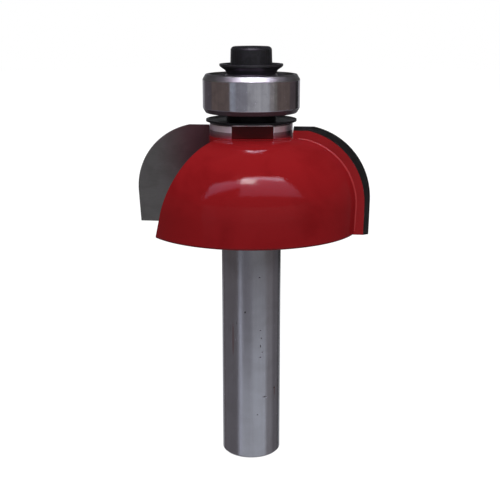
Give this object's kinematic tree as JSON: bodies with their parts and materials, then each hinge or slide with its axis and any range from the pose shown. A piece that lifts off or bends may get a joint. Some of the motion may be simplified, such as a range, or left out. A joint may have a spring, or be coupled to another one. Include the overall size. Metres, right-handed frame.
{
  "type": "cove router bit with guide bearing",
  "caption": "Carbide-tipped cove router bit: round shank, domed red body with chip gullets, and a guide bearing clamped on its nose by a socket-head screw.",
  "frame": {"origin": "centre of the shank's lower end, on the axis of rotation", "axes": "+Z along the axis from the shank to the bearing; the cutting edges are widest on the X axis"},
  "size_m": [0.0318, 0.0288, 0.0559],
  "materials": {
    "painted_body": "glossy red enamel on steel, with bare ground steel on the shank and neck lands",
    "carbide": "ground tungsten carbide, dull grey; the back is painted red with the body",
    "black_washer": "black oxide, smooth",
    "bearing_steel": "ground bearing steel",
    "seal_rubber": "black moulded rubber",
    "cage_steel": "pressed steel",
    "ball_steel": "polished bearing steel",
    "black_screw": "black oxide on forged steel"
  },
  "bodies": {
    "cutter": {"cutter_body": "painted_body", "carbide_tip_1": "carbide", "carbide_tip_2": "carbide", "dished_washer": "black_washer", "bearing_inner_ring": "bearing_steel", "cup_washer": "black_washer", "clamp_screw": "black_screw"},
    "ball_set": {"bearing_cage_lower": "cage_steel", "bearing_cage_upper": "cage_steel", "bearing_ball_1": "ball_steel", "bearing_ball_2": "ball_steel", "bearing_ball_3": "ball_steel", "bearing_ball_4": "ball_steel", "bearing_ball_5": "ball_steel", "bearing_ball_6": "ball_steel", "bearing_ball_7": "ball_steel"},
    "guide_ring": {"bearing_outer_ring": "bearing_steel", "bearing_seal_lower": "seal_rubber", "bearing_seal_upper": "seal_rubber"}
  },
  "joints": [
    {"name": "guide_ring_spin", "type": "hinge", "parent": "cutter", "child": "guide_ring", "pos_m": [0, 0, 0.04993], "axis": [0, 0, 1], "continuous": true},
    {"name": "ball_set_spin", "type": "hinge", "parent": "cutter", "child": "ball_set", "pos_m": [0, 0, 0.04993], "axis": [0, 0, 1], "continuous": true}
  ],
  "couplings": [
    {"joint": "ball_set_spin", "follows": "guide_ring_spin", "ratio": 0.6363}
  ]
}
